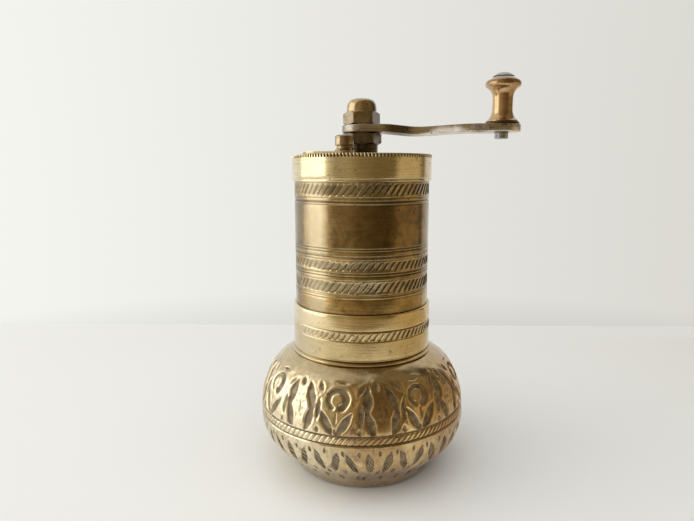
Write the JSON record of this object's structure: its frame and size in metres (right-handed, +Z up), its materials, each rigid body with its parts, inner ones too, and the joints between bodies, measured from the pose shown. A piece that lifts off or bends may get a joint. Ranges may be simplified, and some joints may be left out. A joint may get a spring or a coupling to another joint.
{
  "type": "poppy seed mill",
  "caption": "Brass hand mill: round bowl with neck collar, lift-off cylindrical hopper with conical burrs inside, lidded top, crank arm with knob.",
  "frame": {"origin": "middle of the bowl's flat foot, on the mill's axis", "axes": "+Z up along the spindle, +X along the crank arm at rest"},
  "size_m": [0.0977, 0.0788, 0.1485],
  "materials": {
    "bowl_brass": "hammered and chased brass, worn bright on the raised work and dark in the ground",
    "collar_brass": "turned brass with a mellow patina",
    "tube_brass": "turned and chased brass, browned in the plain zone",
    "lid_brass": "polished pale brass with a milled edge",
    "knob_brass": "reddish brass, polished by the hand",
    "cap_brass": "bright golden brass",
    "nut_steel": "dull grey steel with tarnish",
    "arm_steel": "dull grey-brown steel bar with rust spots",
    "pin_steel": "worn grey steel",
    "washer_steel": "blackened steel",
    "burr_steel": "dark hardened iron with bright tooth edges",
    "spindle_steel": "turned steel",
    "bearing_brass": "turned brass"
  },
  "bodies": {
    "bowl": {"bowl": "bowl_brass", "neck_collar": "collar_brass"},
    "head": {"mill_tube": "tube_brass", "lid": "lid_brass", "lid_edge": "lid_brass", "lid_bush": "bearing_brass", "shutter_rivet": "knob_brass", "burr_ring": "burr_steel", "ring_screws": "spindle_steel", "bearing_bridge": "arm_steel", "bridge_screws": "spindle_steel", "bearing_bush": "bearing_brass", "spring": "spindle_steel"},
    "shutter": {"filler_shutter": "lid_brass", "shutter_knob": "knob_brass"},
    "crank": {"crank_arm": "arm_steel", "cap_nut": "cap_brass", "knob_pin": "pin_steel", "knob_washer": "washer_steel"},
    "knob": {"knob_grip": "knob_brass"},
    "adjusting_nut": {"adjusting_nut": "nut_steel"},
    "spindle": {"spindle": "spindle_steel", "burr_cone": "burr_steel", "cone_nut": "nut_steel", "cross_pin": "pin_steel", "spring_washer": "spindle_steel"}
  },
  "joints": [
    {"name": "head_lift", "type": "slide", "parent": "bowl", "child": "head", "axis": [0, 0, 1], "range_m": [0, 0.06]},
    {"name": "shutter_swing", "type": "hinge", "parent": "head", "child": "shutter", "pos_m": [-0.014, 0.011, 0.1192], "axis": [0, 0, 1], "range_deg": [-55, 0]},
    {"name": "crank_turn", "type": "hinge", "parent": "head", "child": "crank", "pos_m": [0, 0, 0.1273], "axis": [0, 0, 1], "continuous": true},
    {"name": "knob_spin", "type": "hinge", "parent": "crank", "child": "knob", "pos_m": [0.0515, 0, 0.1309], "axis": [0, 0, 1], "continuous": true},
    {"name": "nut_turn", "type": "hinge", "parent": "crank", "child": "adjusting_nut", "pos_m": [0, 0, 0.1195], "axis": [0, 0, 1], "range_deg": [-360, 180]},
    {"name": "grind_set", "type": "slide", "parent": "crank", "child": "spindle", "axis": [0, 0, 1], "range_m": [-0.0005, 0.001], "deforming": ["spring"]}
  ],
  "couplings": [
    {"joint": "nut_turn", "follows": "grind_set", "rad_per_m": -6283.2}
  ]
}
